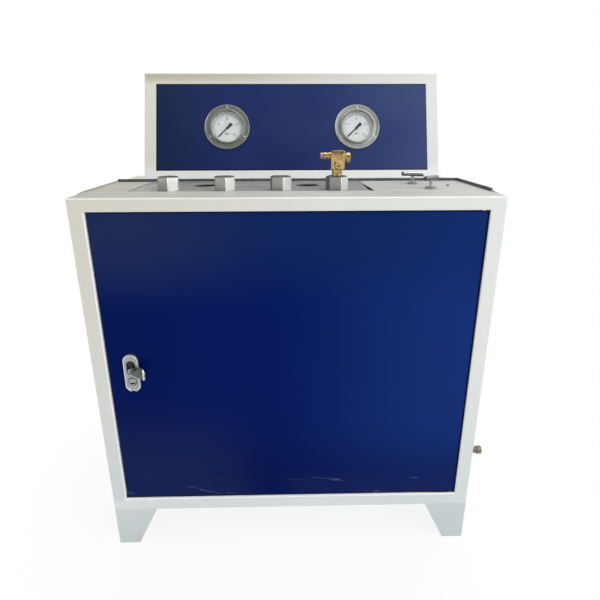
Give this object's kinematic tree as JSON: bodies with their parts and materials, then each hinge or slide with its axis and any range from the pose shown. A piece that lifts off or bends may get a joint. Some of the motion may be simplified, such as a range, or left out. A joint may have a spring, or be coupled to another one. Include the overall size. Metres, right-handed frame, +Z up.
{
  "type": "valve test bench",
  "caption": "Floor-standing valve test bench: steel cabinet with a blue locking door, worktop test sockets, needle valves and a leaning pressure gauge panel.",
  "frame": {"origin": "centre of the bounding box at floor level, with the door shut and the handle out", "axes": "+Z up, the door and the gauges face -Y, +X to the right as seen from the front"},
  "size_m": [1.045, 0.5916, 1.2918],
  "materials": {
    "white_paint": "off-white enamel, satin",
    "blue_paint": "deep blue enamel, satin gloss",
    "zinc_steel": "bare or zinc-plated steel",
    "socket_steel": "dull zinc-plated steel",
    "gauge_steel": "polished stainless steel",
    "brass": "machined brass",
    "copper": "copper",
    "rubber": "matt dark rubber",
    "glass": "clear glass",
    "dial_white": "white enamel with plain scale numbers",
    "pointer_black": "black enamel"
  },
  "bodies": {
    "cabinet": {"back_panel": "white_paint", "base_panel": "white_paint", "edging_back": "rubber", "edging_right": "rubber", "feed_tube": "copper", "foot_front_left": "white_paint", "foot_front_right": "white_paint", "foot_rear_left": "white_paint", "foot_rear_right": "white_paint", "front_frame": "white_paint", "gauge_box_cover": "white_paint", "gauge_box_shell": "white_paint", "gauge_left_case": "gauge_steel", "gauge_left_dial": "dial_white", "gauge_left_movement": "brass", "gauge_left_tube": "copper", "gauge_left_window": "glass", "gauge_panel": "blue_paint", "gauge_right_case": "gauge_steel", "gauge_right_dial": "dial_white", "gauge_right_movement": "brass", "gauge_right_tube": "copper", "gauge_right_window": "glass", "inlet_fitting": "brass", "manifold": "zinc_steel", "pivot_pin_lower": "zinc_steel", "pivot_pin_upper": "zinc_steel", "rear_deck": "white_paint", "shutoff_panel_nut": "zinc_steel", "shutoff_valve_body": "brass", "side_panel_left": "white_paint", "side_panel_right": "white_paint", "station_plate": "zinc_steel", "supply_tube": "copper", "test_socket_1": "socket_steel", "test_socket_2": "socket_steel", "test_socket_3": "socket_steel", "test_socket_4": "socket_steel", "vent_panel_nut": "zinc_steel", "vent_valve_body": "brass", "worktop": "white_paint"},
    "door": {"door_panel": "blue_paint", "door_stiffener": "blue_paint", "lock_plate": "zinc_steel", "lock_clamp": "zinc_steel"},
    "lock_shaft": {"lock_spindle": "zinc_steel", "lock_cam": "zinc_steel"},
    "lock_lever": {"lock_handle": "zinc_steel"},
    "push_button": {"lock_button": "zinc_steel"},
    "key_barrel": {"key_plug": "zinc_steel"},
    "left_pointer": {"gauge_left_pointer": "pointer_black"},
    "right_pointer": {"gauge_right_pointer": "pointer_black"},
    "shutoff_screw": {"shutoff_stem": "zinc_steel"},
    "shutoff_bar": {"shutoff_t_bar": "zinc_steel"},
    "vent_screw": {"vent_stem": "zinc_steel"},
    "vent_bar": {"vent_t_bar": "zinc_steel"},
    "sample_valve": {"sample_valve_body": "brass", "sample_valve_gland": "brass"},
    "sample_spindle": {"sample_valve_spindle": "copper"}
  },
  "joints": [
    {"name": "door_swing", "type": "hinge", "parent": "cabinet", "child": "door", "pos_m": [0.4305, -0.2517, 0.16], "axis": [0, 0, 1], "range_deg": [0, 100]},
    {"name": "lock_turn", "type": "hinge", "parent": "door", "child": "lock_shaft", "pos_m": [-0.4245, -0.2642, 0.5585], "axis": [0, -1, 0], "range_deg": [0, 90]},
    {"name": "handle_fold", "type": "hinge", "parent": "lock_shaft", "child": "lock_lever", "pos_m": [-0.4245, -0.2702, 0.5585], "axis": [0, 0, 1], "range_deg": [0, 20]},
    {"name": "lock_button_press", "type": "slide", "parent": "door", "child": "push_button", "axis": [0, 1, 0], "range_m": [0, 0.004], "stiffness_N_per_m": 300, "springref_m": -0.002},
    {"name": "key_turn", "type": "hinge", "parent": "push_button", "child": "key_barrel", "pos_m": [-0.4245, -0.2642, 0.5295], "axis": [0, 1, 0], "range_deg": [0, 90]},
    {"name": "left_pointer_sweep", "type": "hinge", "parent": "cabinet", "child": "left_pointer", "pos_m": [-0.2045, 0.17125, 1.13884], "axis": [0, 0.9285, -0.3714], "range_deg": [0, 270], "stiffness_Nm_per_rad": 0.0005, "springref_deg": -57.3},
    {"name": "right_pointer_sweep", "type": "hinge", "parent": "cabinet", "child": "right_pointer", "pos_m": [0.1835, 0.17125, 1.13884], "axis": [0, 0.9285, -0.3714], "range_deg": [0, 270], "stiffness_Nm_per_rad": 0.0005, "springref_deg": -57.3},
    {"name": "shutoff_lift", "type": "slide", "parent": "cabinet", "child": "shutoff_screw", "axis": [0, 0, 1], "range_m": [0, 0.003]},
    {"name": "shutoff_turn", "type": "hinge", "parent": "shutoff_screw", "child": "shutoff_bar", "pos_m": [0.3215, 0.00472, 0.99], "axis": [0, 0, 1], "range_deg": [0, 1080]},
    {"name": "vent_lift", "type": "slide", "parent": "cabinet", "child": "vent_screw", "axis": [0, 0, 1], "range_m": [0, 0.003]},
    {"name": "vent_turn", "type": "hinge", "parent": "vent_screw", "child": "vent_bar", "pos_m": [0.342, -0.10616, 0.99], "axis": [0, 0, 1], "range_deg": [0, 1080]},
    {"name": "sample_valve_lift", "type": "slide", "parent": "cabinet", "child": "sample_valve", "axis": [0, 0, 1], "range_m": [0, 0.06]},
    {"name": "sample_spindle_turn", "type": "hinge", "parent": "sample_valve", "child": "sample_spindle", "pos_m": [0.1005, -0.10112, 1.0718], "axis": [1, 0, 0], "range_deg": [0, 720]}
  ],
  "couplings": [
    {"joint": "shutoff_turn", "follows": "shutoff_lift", "rad_per_m": 6283},
    {"joint": "vent_turn", "follows": "vent_lift", "rad_per_m": 6283}
  ]
}
